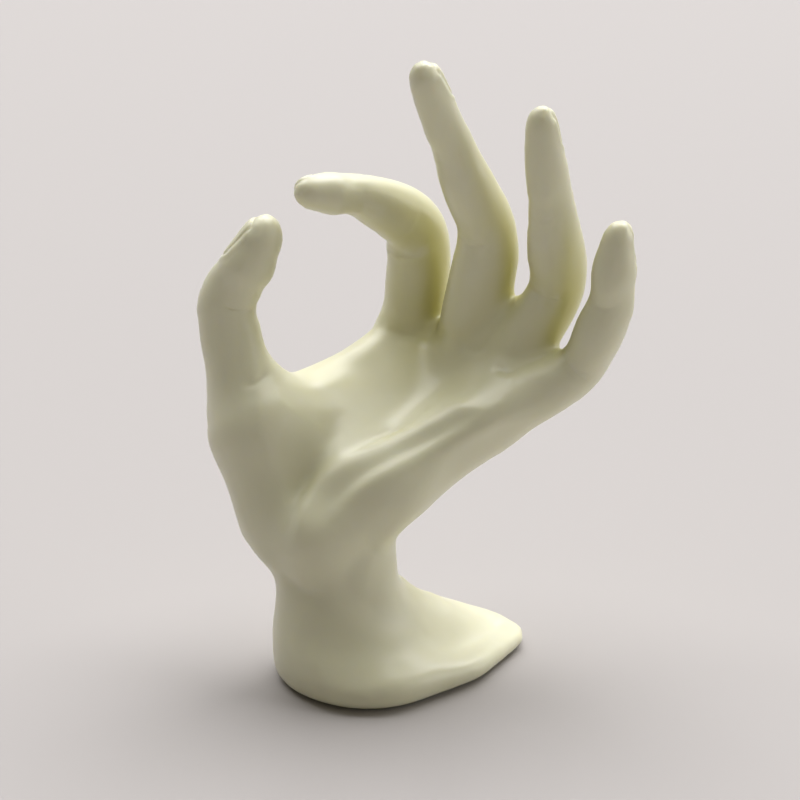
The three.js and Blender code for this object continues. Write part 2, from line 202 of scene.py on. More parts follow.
def smooth_line(knots, steps):
    """A smooth curve through knots (a centripetal Catmull-Rom spline), with steps points to a span."""
    knots = [2 * knots[0] - knots[1], *knots, 2 * knots[-1] - knots[-2]]
    line = []
    for a, b, c, d in zip(knots, knots[1:], knots[2:], knots[3:]):
        ab, bc, cd = (np.sqrt(np.linalg.norm(q - p)) for p, q in ((a, b), (b, c), (c, d)))
        leave = (b - a) / ab - (c - a) / (ab + bc) + (c - b) / bc
        arrive = (c - b) / bc - (d - b) / (bc + cd) + (d - c) / cd
        for t in np.arange(steps) / steps:
            line.append((2 * t**3 - 3 * t**2 + 1) * b + (t**3 - 2 * t**2 + t) * bc * leave
                        + (3 * t**2 - 2 * t**3) * c + (t**3 - t**2) * bc * arrive)
    return np.array([*line, knots[-2]])


def joints_of(digit):
    """A digit's joints from the knuckle to the tip, in mm."""
    joints = [np.array(digit["knuckle"], float)]
    for length, aim in zip(digit["lengths"], digit["aims"]):
        joints.append(joints[-1] + np.array(aim) / np.linalg.norm(aim) * length)
    return joints


for digit in DIGITS.values():
    digit["spine"] = smooth_line(joints_of(digit), SPINE_STEPS)
    places = np.linspace(0, len(digit["radii"]) - 1, len(digit["spine"]))
    digit["girth"] = np.interp(places, range(len(digit["radii"])), digit["radii"])
print("spines:", {name: len(digit["spine"]) for name, digit in DIGITS.items()})

# %% [markdown]
# The tubes and balls stay separate lumps of clay for now. They overlap the rough fingers and
# fill them out, and the remesh further down melts them all together.

# %% Tubes and balls for the digits
BALL_SIDES = 32
clay = [skin]


def add_ball(centre, radius):
    """A ball of clay, in mm."""
    bpy.ops.object.select_all(action="DESELECT")
    bpy.ops.mesh.primitive_uv_sphere_add(
        segments=BALL_SIDES, ring_count=BALL_SIDES // 2, radius=radius * MM, location=Vector(centre) * MM
    )
    clay.append(bpy.context.object)


def add_tube(line, radii):
    """A tube of clay along a line with a radius at each point, in mm."""
    bpy.ops.object.select_all(action="DESELECT")
    bpy.ops.curve.primitive_bezier_curve_add()
    tube = bpy.context.object
    tube.data.bevel_depth = MM
    tube.data.bevel_resolution = 7
    tube.data.use_fill_caps = True
    tube.data.resolution_u = 4
    points = tube.data.splines[0].bezier_points
    points.add(len(line) - len(points))
    for point, place, radius in zip(points, line, radii):
        point.co = Vector(place) * MM
        point.handle_left_type = "AUTO"
        point.handle_right_type = "AUTO"
        point.radius = radius
    bpy.ops.object.convert(target="MESH")
    clay.append(bpy.context.object)


for digit in DIGITS.values():
    add_tube(digit["spine"], digit["girth"])
    add_ball(digit["spine"][0], digit["girth"][0])
    add_ball(digit["spine"][-1], digit["girth"][-1])
print("clay pieces with the digits:", len(clay))

# %% [markdown]
# The clay is hollow under the wrist. The voxel remesh below wants one solid body, so a plain
# round core is put into the hollow. It reaches below the surface, and the underside is cut
# flat and hollowed again at the very end, when the skin is done. The shallow recess under the
# foot is filled in the same way, with a copy of the felt's CAD solid at three times its height.

# %% Fill the hollow
CORE_RADIUS = 13.5
CORE_TOP = 40
CORE_BOTTOM = -6
CORE_SIDES = 48
PLUG_AXIS = (3, -1)

bpy.ops.object.select_all(action="DESELECT")
bpy.ops.mesh.primitive_cylinder_add(
    vertices=CORE_SIDES,
    radius=CORE_RADIUS * MM,
    depth=(CORE_TOP - CORE_BOTTOM) * MM,
    location=(PLUG_AXIS[0] * MM, PLUG_AXIS[1] * MM, (CORE_TOP + CORE_BOTTOM) / 2 * MM),
)
clay.append(bpy.context.object)

filler = copy_of_node("felt_pad", "recess_filler")
edit_all(filler, bpy.ops.transform.resize, value=(1, 1, 3))
clay.append(filler)
print("clay pieces:", len(clay))

# %% [markdown]
# The voxel remesh turns the lot into one even skin of small quads. A few rounds of smoothing
# then take the voxels' steps away.

# %% One even skin
VOXEL = 1.0 * MM
EVENING_ROUNDS = 6

bpy.ops.object.select_all(action="DESELECT")
for obj in clay:
    obj.select_set(True)
bpy.context.view_layer.objects.active = skin
bpy.ops.object.join()
remesh = skin.modifiers.new("remesh", "REMESH")
remesh.mode = "VOXEL"
remesh.voxel_size = VOXEL
evening = skin.modifiers.new("evening", "SMOOTH")
evening.factor = 0.5
evening.iterations = EVENING_ROUNDS
apply_modifiers(skin)
print("even skin:", count(skin), "triangles")

# %% [markdown]
# ## Sculpting
#
# Folds, nails and muscle edges are what make the casting read as a hand. A sculptor presses
# them in with brushes. Moving thousands of vertices one by one would be slow, so the skin is
# read as arrays, moved all at once and written back.

# %% The skin as arrays
def skin_arrays():
    """The skin's vertices and their normals, in mm."""
    points = np.empty(3 * len(skin.data.vertices))
    normals = np.empty_like(points)
    skin.data.vertices.foreach_get("co", points)
    skin.data.vertices.foreach_get("normal", normals)
    return points.reshape(-1, 3) / MM, normals.reshape(-1, 3)


def put_back(points):
    """Writes moved vertices, in mm, to the skin."""
    skin.data.vertices.foreach_set("co", (points * MM).ravel())
    skin.data.update()


def skin_tree():
    """The skin as a tree that rays can be shot at, in metres."""
    mesh = skin.data
    corners = [vertex.co for vertex in mesh.vertices]
    faces = [tuple(face.vertices) for face in mesh.polygons]
    return BVHTree.FromPolygons(corners, faces)


print("skin:", len(skin_arrays()[0]), "vertices")

# %% [markdown]
# A stroke is a smooth line on the skin. It is named by where the photograph shows it, in
# pixels of the square frame, and a ray from the camera through each pixel finds its place.

# %% Strokes through the camera
def through_pixel(x, y):
    """The direction from the camera through a pixel of the photograph."""
    focal = CAMERA_LENS / SENSOR_WIDTH * FRAME_SIDE
    right = Vector((1, 0, 0))
    up = toward_camera.cross(right)
    return (-toward_camera + right * (x - FRAME_SIDE / 2) / focal
            - up * (y - FRAME_SIDE / 2) / focal).normalized()


def stroke(tree, pixels, steps=8):
    """A smooth line on the skin, in mm, through the places that the camera sees at pixels."""
    hits = [tree.ray_cast(camera.location, through_pixel(*pixel))[0] for pixel in pixels]
    return smooth_line([np.array(hit) / MM for hit in hits if hit is not None], steps)


def distance_to_line(points, line):
    """For each point, its distance from the line and how far along it the nearest spot is, 0 to 1."""
    nearest = np.full(len(points), np.inf)
    along = np.zeros(len(points))
    for i, (a, b) in enumerate(zip(line, line[1:])):
        run = b - a
        t = np.clip((points - a) @ run / (run @ run), 0, 1)
        distance = np.linalg.norm(points - a - t[:, None] * run, axis=1)
        closer = distance < nearest
        nearest[closer] = distance[closer]
        along[closer] = (i + t[closer]) / (len(line) - 1)
    return nearest, along


straight_on = through_pixel(FRAME_SIDE / 2, FRAME_SIDE / 2)
print("the frame's middle looks along", [round(value, 3) for value in straight_on])

# %% [markdown]
# The brush is a function. It moves each vertex along its normal by an amount that fades with
# the distance from a stroke. Two more helpers smooth or refine only a part of the skin: they
# select its vertices and use the operators of edit mode.

# %% The brush
def brush(line, width, height, fade=0.25, way=None):
    """Moves the skin by height, in mm, along its normals or one way, most of all on a line."""
    points, normals = skin_arrays()
    distance, along = distance_to_line(points, line)
    ends = np.clip(np.minimum(along, 1 - along) / fade, 0, 1) if fade else 1
    amount = height * np.exp(-((distance / width) ** 2)) * ends
    put_back(points + (normals if way is None else np.array(way)) * amount[:, None])


def edit_where(mask):
    """Goes into edit mode with the skin's vertices in mask selected."""
    select_only(skin)
    skin.data.vertices.foreach_set("select", mask)
    skin.data.edges.foreach_set("select", np.zeros(len(skin.data.edges), bool))
    skin.data.polygons.foreach_set("select", np.zeros(len(skin.data.polygons), bool))
    bpy.ops.object.mode_set(mode="EDIT")
    bpy.ops.mesh.select_mode(type="VERT")


def smooth_where(mask, rounds):
    """Smooths the skin's vertices in mask, which also fills corners with a soft fillet."""
    edit_where(mask)
    bpy.ops.mesh.vertices_smooth(factor=0.5, repeat=rounds)
    bpy.ops.mesh.select_all(action="DESELECT")
    bpy.ops.object.mode_set(mode="OBJECT")


def refine_where(mask, cuts):
    """Cuts the faces in mask into smaller ones, for detail finer than a voxel."""
    edit_where(mask)
    bpy.ops.mesh.subdivide(number_cuts=cuts, smoothness=1.0)
    bpy.ops.mesh.select_all(action="DESELECT")
    bpy.ops.object.mode_set(mode="OBJECT")


print("before the first stroke:", count(skin), "triangles")

# %% [markdown]
# The column runs out into the foot with a wide soft fillet. Smoothing only the vertices near
# the corner makes it: the more rounds, the wider it gets.

# %% Soften the foot's fillet
FILLET_LINE = [(6, -17, 12), (16, -12, 13), (21, -1, 13), (20, 9, 13), (10, 18, 14)]
FILLET_REACH = 12
FILLET_TOP = 22
FILLET_ROUNDS = 160
FOOT_TOP = 12
FOOT_ROUNDS = 12
points, _ = skin_arrays()
distance, _ = distance_to_line(points, np.array(FILLET_LINE, float))
smooth_where((distance < FILLET_REACH) & (points[:, 2] < FILLET_TOP), FILLET_ROUNDS)
smooth_where(points[:, 2] < FOOT_TOP, FOOT_ROUNDS)
print("fillet:", int((distance < FILLET_REACH).sum()), "vertices")

# %% [markdown]
# The palm's floor is the calm part of the hand, between the cushions. The clay is uneven
# there, so it is smoothed before any stroke is laid.

# %% Smooth the palm's floor
# each: pixels in the photograph and how far the smoothing reaches, in mm
PALM_FLOORS = [
    ([(338, 398), (384, 392), (430, 382), (478, 376)], 10),
    ([(345, 432), (380, 418), (430, 402), (484, 386)], 7),
    ([(398, 356), (428, 358), (456, 366), (484, 374)], 8),
    ([(440, 354), (430, 376), (420, 398), (406, 420)], 7),
    ([(304, 392), (320, 386), (342, 380)], 9),
]
PALM_ROUNDS = 200
tree = skin_tree()
points, _ = skin_arrays()
on_floor = np.zeros(len(points), bool)
for pixels, reach in PALM_FLOORS:
    distance, _ = distance_to_line(points, stroke(tree, pixels))
    on_floor |= distance < reach
smooth_where(on_floor, PALM_ROUNDS)
print("palm floor:", int(on_floor.sum()), "vertices")

# %% [markdown]
# The broad strokes are the muscle edges that catch the light. The palm's two cushions meet in
# a long valley that runs down to the wrist. The edge of the little finger's cushion is the
# longest ridge on the object, and at its foot the heel of the hand folds over the wrist.

# %% Broad strokes
# each: pixels in the photograph, width and height in mm
BROAD_STROKES = {
    "palm_valley": ([(342, 408), (333, 430), (320, 454), (303, 486), (290, 520), (284, 552)], 2.8, -1.1),
    "palm_ridge": (
        [(480, 396), (450, 412), (420, 429), (373, 450), (334, 473), (307, 500), (292, 531), (287, 562)],
        3.2,
        0.85,
    ),
    "ridge_groove": (
        [(500, 406), (466, 420), (434, 437), (388, 461), (350, 484), (324, 512), (308, 545)],
        2.6,
        -0.6,
    ),
    "lower_ridge": ([(526, 408), (496, 421), (458, 438), (400, 467), (354, 496), (332, 522)], 2.8, 0.75),
    "heel_fold": ([(281, 572), (296, 588), (330, 600)], 2.2, -0.7),
}
print("broad strokes:", len(BROAD_STROKES))

# %% [markdown]
# More strokes lie just inside the outline, and trim it or fill it out where the clay is too
# full or too thin. They are laid first, each with its own smoothing, so that the broad
# strokes stay crisp over them.

# %% Lay the strokes
# as above, then rounds of smoothing, and the way the skin moves where that isn't its normals
FORWARD_AND_DOWN = (0, -0.95, -0.3)
UP_AND_LEFT = (-0.61, 0.26, 0.75)
EDGE_FADE = 0.3  # share of an edge stroke over which each of its ends dies away
EDGE_REACH = 1.4  # how far its smoothing reaches, in widths of the stroke
EDGE_STROKES = {
    "little_finger_edge": (
        [(420, 508), (448, 485), (472, 467), (496, 451), (520, 436), (546, 417)],
        7.5,
        4.0,
        25,
        UP_AND_LEFT,
    ),
    "thumb_edge": (
        [(206, 356), (206, 386), (214, 418), (218, 448), (228, 476), (242, 506)],
        9.0,
        -1.0,
        50,
        None,
    ),
    "waist_over": ([(388, 526), (391, 534), (391, 541)], 4.5, 1.8, 50, None),
    "waist_under": ([(391, 574), (396, 584), (408, 592)], 6.5, 2.0, 80, None),
    "instep": ([(399, 598), (398, 610), (397, 622)], 7.0, 1.8, 70, None),
    "waist": ([(389, 552), (389, 556), (389, 560)], 4.0, -1.3, 30, None),
    "wrist_left": ([(256, 545), (265, 557), (277, 570)], 5.0, 1.1, 10, None),
    "web_right": ([(346, 362), (360, 352), (374, 340)], 4.0, 0.8, 16, None),
    "web_left": ([(296, 378), (310, 374), (326, 369), (342, 363)], 6.5, 3.2, 10, FORWARD_AND_DOWN),
    "far_rim": ([(470, 609), (488, 615), (502, 621)], 3.0, 1.2, 4, None),
}
tree = skin_tree()
for pixels, width, height, rounds, way in EDGE_STROKES.values():
    line = stroke(tree, pixels)
    brush(line, width, height, EDGE_FADE, way)
    points, _ = skin_arrays()
    smooth_where(distance_to_line(points, line)[0] < EDGE_REACH * width, rounds)
tree = skin_tree()
for pixels, width, height in BROAD_STROKES.values():
    brush(stroke(tree, pixels), width, height)
print("edge strokes:", len(EDGE_STROKES))

# %% [markdown]
# A digit's own features are placed round its spine instead: how far a point is before the
# tip, and the angle round the spine, which is 0 on the soft side. So a pad or a fold is the
# same few numbers on every digit, seen from any side.

# %% Places on a digit
DIGIT_REACH = 9.5  # how far from its spine a thin digit's own skin can be, in mm


def round_digit(points, digit):
    """Places points on a digit: bones along it, mm before its tip, its radius, and the angle round it."""
    spine = digit["spine"]
    distance, along = distance_to_line(points, spine)
    place = along * (len(spine) - 1)
    step = np.minimum(place.astype(int), len(spine) - 2)
    runs = np.diff(spine, axis=0)
    lengths = np.linalg.norm(runs, axis=1)
    tangents = runs / lengths[:, None]
    travelled = np.concatenate([[0], np.cumsum(lengths)])
    soft = np.array(digit["soft_side"]) - tangents * (tangents @ digit["soft_side"])[:, None]
    soft /= np.linalg.norm(soft, axis=1)[:, None]
    across = np.cross(tangents, soft)
    share = place - step
    away = points - spine[step] - runs[step] * share[:, None]
    past = (away * tangents[step]).sum(axis=1)
    girth = np.interp(place, range(len(spine)), digit["girth"])
    return {
        "bones": place / SPINE_STEPS,
        "before_tip": travelled[-1] - travelled[step] - lengths[step] * share - past,
        "girth": girth,
        "away": away,
        "angle": np.arctan2((away * across[step]).sum(axis=1), (away * soft[step]).sum(axis=1)),
        "on": np.clip((np.maximum(1.6 * girth, DIGIT_REACH) - distance) / 2, 0, 1),
    }


def turned_from(angle, side):
    """How far an angle is from a side, from 0 to pi."""
    return np.abs(np.angle(np.exp(1j * (angle - side))))


def smooth_step(value, low, high):
    """Runs smoothly from 0 at low to 1 at high."""
    share = np.clip((value - low) / (high - low), 0, 1)
    return share * share * (3 - 2 * share)


# %% [markdown]
# Each bone has a soft pad on the side that faces the palm. It swells most at the middle of
# the bone and dies away at the joints, which leaves the notches that the outline shows.

# %% Soft pads
PAD_LENGTH = 0.3  # share of a bone over which a pad dies away
PAD_PLACE = 0.5  # share of a bone where its pad is fullest
# how far each bone's pad rises, in mm, from the knuckle on; the last bone's has its own shape
PADS = {
    "index": (1.7, 0.5),
    "middle": (0.5, 0.5),
    "ring": (0.5, 0.5),
    "little": (0.4, 0.6),
    "thumb": (0.5,),
}
for name, rises in PADS.items():
    points, normals = skin_arrays()
    here = round_digit(points, DIGITS[name])
    facing = 0.5 + 0.5 * np.cos(here["angle"])
    amount = 0
    for bone, rise in enumerate(rises):
        amount += rise * np.exp(-(((here["bones"] - bone - PAD_PLACE) / PAD_LENGTH) ** 2))
    put_back(points + normals * (amount * facing * here["on"])[:, None])
print("pads:", sum(len(rises) for rises in PADS.values()))

# %% [markdown]
# The last bone gets its exact form: a half thickness that narrows evenly from the joint, a pad
# on the soft side, and an egg-shaped dome that closes it. The apex of the dome leans toward
# the nail, as a real fingertip's does.

# %% Fingertips
# each in mm: dome length, half thickness where it begins, half way to the joint and at the joint,
# how far the tip is past the spine's end, the pad's rise, and the apex's lean toward the nail
TIPS = {
    "index": (6.5, 4.3, 5.1, 5.8, 2.7, 1.8, 0.2),
    "middle": (7.0, 4.3, 4.9, 5.7, 4.3, 0.7, 0.3),
    "ring": (8.0, 4.1, 5.0, 5.6, 3.4, 0.9, 0.4),
    "little": (7.0, 3.9, 5.2, 5.7, 2.8, 1.1, 1.2),
    "thumb": (9.0, 4.5, 4.8, 7.1, 5.0, 5.0, -0.4),
}
TIP_PAD_PLACE = 0.32  # share of the way from the dome to the joint where the pad is fullest
TIP_PAD_LENGTH = 0.48
TIP_REACH = 15  # no skin of a fingertip is farther than this from its spine, in mm
TIP_ROUNDS = 3


def tip_form(points, digit, tip):
    """Where the skin's points go on a fingertip, and how far each takes part, 0 to 1."""
    dome, begin, half_way, at_joint, past, pad, lean = tip
    here = round_digit(points, digit)
    spine = digit["spine"]
    axis = (spine[-1] - spine[-2]) / np.linalg.norm(spine[-1] - spine[-2])
    nail_way = -np.array(digit["soft_side"], float)
    nail_way -= axis * (axis @ nail_way)
    nail_way /= np.linalg.norm(nail_way)
    bones = len(digit["lengths"])
    length = digit["lengths"][-1]
    dome_start = dome - past
    facing = 0.5 + 0.5 * np.cos(here["angle"])
    place = (here["before_tip"] - dome_start) / (length - dome_start)
    swell = pad * facing * np.exp(-(((place - TIP_PAD_PLACE) / TIP_PAD_LENGTH) ** 2))
    # behind the dome, a point keeps its place along the spine and gets its distance from it
    thickness = np.interp(place, [0, 0.5, 1], [begin, half_way, at_joint]) + swell
    beside = here["away"]
    distance = np.maximum(np.linalg.norm(beside, axis=1), 1e-6)
    on_bone = points + beside * (thickness / distance - 1)[:, None]
    # in the dome, it goes out from the dome's centre to an egg's surface
    centre = spine[-1] - axis * dome_start
    out = points - centre
    ahead = out @ axis
    leaning = lean * (np.maximum(ahead, 0) / dome) ** 2
    across = out - ahead[:, None] * axis - leaning[:, None] * nail_way
    width = begin + pad * facing * np.exp(-((TIP_PAD_PLACE / TIP_PAD_LENGTH) ** 2))
    grow = 1 / np.maximum(np.hypot(ahead / dome, np.linalg.norm(across, axis=1) / width), 1e-6)
    leaned = lean * (np.maximum(ahead * grow, 0) / dome) ** 2
    in_dome = centre + (ahead * grow)[:, None] * axis + across * grow[:, None] + leaned[:, None] * nail_way
    near = np.linalg.norm(beside, axis=1) < TIP_REACH
    share = smooth_step(here["bones"], bones - 0.8, bones - 0.5) * near
    return np.where((ahead > 0)[:, None], in_dome, on_bone), share


print("fingertip sizes for:", ", ".join(TIPS))

# %% [markdown]
# Some fingers pass close to each other, so a fingertip takes only the skin whose nearest spine
# is its own. A little smoothing closes the seam behind it.

# %% Form the fingertips
def nearest_digit(points):
    """The name of the digit whose spine is nearest to each point."""
    distances = [distance_to_line(points, digit["spine"])[0] for digit in DIGITS.values()]
    return np.array(list(DIGITS))[np.argmin(distances, axis=0)]


for name, tip in TIPS.items():
    points, _ = skin_arrays()
    formed, share = tip_form(points, DIGITS[name], tip)
    share = share * (nearest_digit(points) == name)
    put_back(points + (formed - points) * share[:, None])
    smooth_where(share > 0, TIP_ROUNDS)
print("fingertips:", len(TIPS))

# %% [markdown]
# No digit is quite round. Seen from the palm side, each is a little fuller on one side than on
# the other, most of all at its joints. Its sides are drawn out or in, by little more than a
# millimetre at most, with even changes from one place to the next.

# %% Sides of the digits
# each place: bones along the digit, and how far its right and its left side go out, in mm
SIDES = {
    "index": [(0.0, 0, 0), (0.4, 0, -0.7), (0.7, 0, 0), (1.2, 0, 1.1), (1.7, 0, 0)],
    "middle": [(0.3, 0, 0), (0.8, 1.1, 0.6), (1.4, -0.3, 0.2), (2.1, 0.7, -0.8), (2.9, 0.6, -0.2)],
    "ring": [(0.5, 0, 0), (1.1, 0.5, 1.0), (1.8, 0.9, 0.7), (2.3, 0.5, 0.5), (2.8, -0.4, 0.7)],
    "little": [(0.6, 0, 0), (1.3, -0.8, 0), (1.9, 0.7, 0.5), (2.4, 0.2, 0.9), (2.9, -0.4, 0.6)],
    "thumb": [(0.0, 0, -1.3), (0.3, 0.3, -0.7), (0.7, 1.2, 0), (1.1, 0, 0)],
}


def sideways(points, digit):
    """How far each point is to the right of a digit's spine, as the camera sees it, from -1 to 1."""
    here = round_digit(points, digit)
    spine = digit["spine"]
    runs = np.gradient(spine, axis=0)
    to_right = np.cross(runs, np.array(toward_camera))
    to_right /= np.linalg.norm(to_right, axis=1)[:, None]
    away = here["away"] / np.maximum(np.linalg.norm(here["away"], axis=1), 1e-6)[:, None]
    step = np.minimum((here["bones"] * SPINE_STEPS).astype(int), len(spine) - 1)
    return here, (away * to_right[step]).sum(axis=1)


for name, places in SIDES.items():
    points, normals = skin_arrays()
    here, to_right = sideways(points, DIGITS[name])
    bones, right_rise, left_rise = np.array(places, float).T
    fade = smooth_step(here["bones"], bones[0] - 0.2, bones[0] + 0.1)
    rise = np.where(to_right > 0, np.interp(here["bones"], bones, right_rise),
                    np.interp(here["bones"], bones, left_rise))
    amount = rise * to_right**2 * fade * here["on"]
    put_back(points + normals * amount[:, None])
print("sides:", sum(len(places) for places in SIDES.values()))

# %% [markdown]
# Where a digit bends far, its flesh fills the inside of the bend.

# %% Fill the bends
# each: digit, bones along it, mm it rises, how many mm it reaches, and rounds of smoothing
BENDS = [("index", 0.9, 2.6, 7, 30), ("index", 1.15, 1.5, 5, 50), ("thumb", 0.95, 0.6, 4, 6)]
for name, bones, rise, reach, rounds in BENDS:
    points, normals = skin_arrays()
    here = round_digit(points, DIGITS[name])
    along = (here["bones"] - bones) * DIGITS[name]["lengths"][int(bones)]
    amount = rise * np.exp(-((along / reach) ** 2)) * (0.5 + 0.5 * np.cos(here["angle"])) ** 2
    put_back(points + normals * (amount * here["on"])[:, None])
    smooth_where((here["on"] > 0.5) & (np.abs(along) < 1.3 * reach) & (np.abs(here["angle"]) < 1.6), rounds)
print("bends:", len(BENDS))

# %% [markdown]
# Nails and folds are finer than a voxel, so the skin gets smaller faces there first.

# %% Finer faces for nails and folds
NAIL_LENGTH = {"index": 9.5, "middle": 10, "ring": 10, "little": 8.5, "thumb": 13}
NAIL_REACH = 0.85  # how far the nail reaches round the digit to either side, in radians
# the way round the digit that the nail faces, where pi is straight away from the soft side
NAIL_SIDE = {"index": math.pi, "middle": 3.0, "ring": 2.85, "little": 2.95, "thumb": 3.5}
FOLD_REACH = 1.25  # how far the finer faces reach round a digit, in radians
FOLD_LENGTH = 3  # and to each side of a joint, in mm
FOLD_CUTS = 2
NAIL_CUTS = 3
REFINED_ROUNDS = 2


def near_folds(points, digit):
    """Which points lie where a digit folds."""
    here = round_digit(points, digit)
    near = np.zeros(len(points), bool)
    for joint in range(1, len(digit["lengths"])):
        near |= np.abs(here["bones"] - joint) * digit["lengths"][joint] < FOLD_LENGTH
    return (here["on"] > 0) & near & (turned_from(here["angle"], 0) < FOLD_REACH)


def near_nail(points, name):
    """Which points lie on a digit's nail or close round it."""
    here = round_digit(points, DIGITS[name])
    turned = turned_from(here["angle"], NAIL_SIDE[name])
    close = (here["before_tip"] < NAIL_LENGTH[name] + 1.5) & (turned < NAIL_REACH + 0.5)
    return (here["on"] > 0) & close


points, _ = skin_arrays()
refine_where(np.any([near_folds(points, digit) for digit in DIGITS.values()], axis=0), FOLD_CUTS)
points, _ = skin_arrays()
refine_where(np.any([near_nail(points, name) for name in DIGITS], axis=0), NAIL_CUTS)
smooth_where(np.ones(len(skin.data.vertices), bool), REFINED_ROUNDS)
print("refined skin:", count(skin), "triangles")

# %% [markdown]
# A nail is a plate that lies in the back of the fingertip. Its outline is a rounded
# rectangle, laid round the digit. Everything about it follows from the distance to that
# outline: the plate rises a little inside, a groove runs along it, the skin folds up outside,
# and past the free edge the fingertip drops away.

# %% Nails
PLATE_RISE = 0.2
GROOVE_DEPTH = 0.12
GROOVE_WIDTH = 0.42
FOLD_RISE = 0.2
TIP_DROP = 0.4
NAIL_CORNER = 0.7  # the radius of a nail's corners, as a share of its half width


def nail_relief(points, digit, length, facing):
    """How far the skin rises at each point for a digit's nail, in mm."""
    here = round_digit(points, digit)
    free_end = -0.45 * digit["girth"][-1]
    middle = free_end + length / 2
    half_width = NAIL_REACH * np.interp(middle, [0, digit["lengths"][-1]], digit["radii"][:-3:-1])
    half_length = length / 2
    corner = NAIL_CORNER * half_width
    side = here["girth"] * np.angle(np.exp(1j * (here["angle"] - facing)))
    ahead = middle - here["before_tip"]
    beside = np.abs(side) - half_width + corner
    beyond = np.abs(ahead) - half_length + corner
    outside = (np.hypot(np.maximum(beside, 0), np.maximum(beyond, 0))
               + np.minimum(np.maximum(beside, beyond), 0) - corner)
    at_tip = smooth_step(ahead, 0.5 * half_length, 0.85 * half_length)
    plate = PLATE_RISE * smooth_step(-outside, 0, 0.5)
    groove = -GROOVE_DEPTH * np.exp(-((outside / GROOVE_WIDTH) ** 2)) * (1 - 0.7 * at_tip)
    fold = FOLD_RISE * np.exp(-(((outside - 1.1) / 0.7) ** 2)) * (1 - at_tip)
    drop = -TIP_DROP * at_tip * smooth_step(outside, 0, 0.45) * np.exp(-np.maximum(outside, 0) / 2.2)
    on_back = smooth_step(-turned_from(here["angle"], facing), -1.5, -1.2)
    return (plate + groove + fold + drop) * on_back * here["on"] * (here["before_tip"] < length + 3)


for name, digit in DIGITS.items():
    points, normals = skin_arrays()
    relief = nail_relief(points, digit, NAIL_LENGTH[name], NAIL_SIDE[name])
    put_back(points + normals * relief[:, None])
print("nails:", len(DIGITS))

# %% [markdown]
# The skin folds where a joint bends: a pair of lines on the soft side, and shallow wrinkles
# on the back. Resin casts keep them soft, so they are a few tenths of a millimetre deep.

# %% Folds across the digits
BACK = math.pi
# each: bones along the digit, mm from there, side, depth and width in mm, reach in radians
SOFT_FOLDS = [(1, -0.9, 0, 0.2, 0.6, 0.9), (1, 0.9, 0, 0.13, 0.5, 0.7), (2, 0, 0, 0.13, 0.55, 0.8)]
BACK_FOLDS = [(1, -2.4, BACK, 0.2, 0.7, 0.55), (1, 0, BACK, 0.26, 0.7, 0.65),
              (1, 2.4, BACK, 0.2, 0.7, 0.55), (2, -1, BACK, 0.15, 0.5, 0.5), (2, 1, BACK, 0.15, 0.5, 0.5)]
THUMB_FOLDS = [(1, 0, 0, 0.22, 0.6, 1.0), (1, -1.5, BACK, 0.22, 0.7, 0.6), (1, 1.5, BACK, 0.22, 0.7, 0.6)]
BOW = 1.2  # how far a fold bends toward the tip at its ends

INDEX_FOLDS = SOFT_FOLDS[2:] + BACK_FOLDS  # its first bend is too sharp for a fold to show
FOLDS = {"index": INDEX_FOLDS, "thumb": THUMB_FOLDS}
for name, digit in DIGITS.items():
    points, normals = skin_arrays()
    here = round_digit(points, digit)
    amount = np.zeros(len(points))
    for bones, offset, side, depth, width, reach in FOLDS.get(name, SOFT_FOLDS + BACK_FOLDS):
        bone = min(int(bones), len(digit["lengths"]) - 1)
        turned = turned_from(here["angle"], side) / reach
        along = (here["bones"] - bones) * digit["lengths"][bone] - offset - BOW * turned**2
        amount -= depth * np.exp(-((along / width) ** 2)) * smooth_step(-turned, -1.15, -0.6)
    put_back(points + normals * (amount * here["on"])[:, None])
print("folds:", 3 * len(SOFT_FOLDS + BACK_FOLDS) + len(INDEX_FOLDS) + len(THUMB_FOLDS))

# %% [markdown]
# The palm's own creases are placed through the camera again.

# %% Creases
# each: pixels in the photograph, width and height in mm
CREASES = {
    "index_root": ([(388, 327), (400, 332), (420, 335), (440, 335), (454, 331)], 1.3, -0.6),
    "index_root_low": ([(392, 338), (412, 342), (434, 342)], 0.9, -0.25),
    "middle_root": ([(456, 336), (464, 345), (476, 350), (490, 344)], 1.3, -0.5),
    "ring_root": ([(494, 364), (506, 372), (520, 370)], 1.3, -0.4),
    "thumb_root": ([(243, 387), (258, 381), (269, 369)], 1.2, -0.6),
}
tree = skin_tree()
for pixels, width, height in CREASES.values():
    brush(stroke(tree, pixels), width, height)
print("creases:", len(CREASES))

# %% [markdown]
# On the back of the hand a tendon runs to each finger and stands out a little over its
# knuckle. These strokes are laid from the back: a ray toward the palm finds each place.

# %% Knuckles and tendons
WRIST_BACK = np.array((6.0, 12, 46))
BACK_SIDE = np.array((0.66, 0.75, -0.1))
TENDON_WIDTH = 2.6
TENDON_RISE = 0.5
TENDON_START = 0.3  # share of the way from the wrist where a tendon comes up
KNUCKLE_WIDTH = 6.5
KNUCKLE_RISE = 0.9
FINGERS = ("index", "middle", "ring", "little")


def line_on_back(tree, start, end, steps=6):
    """A line on the back of the hand, in mm, over the straight line from start to end."""
    line = []
    for share in np.arange(steps + 1) / steps:
        inner = start + (end - start) * share
        outer = Vector((inner + BACK_SIDE * 60) * MM)
        hit = tree.ray_cast(outer, Vector(-BACK_SIDE).normalized())[0]
        if hit is not None:
            line.append(np.array(hit) / MM)
    return np.array(line)


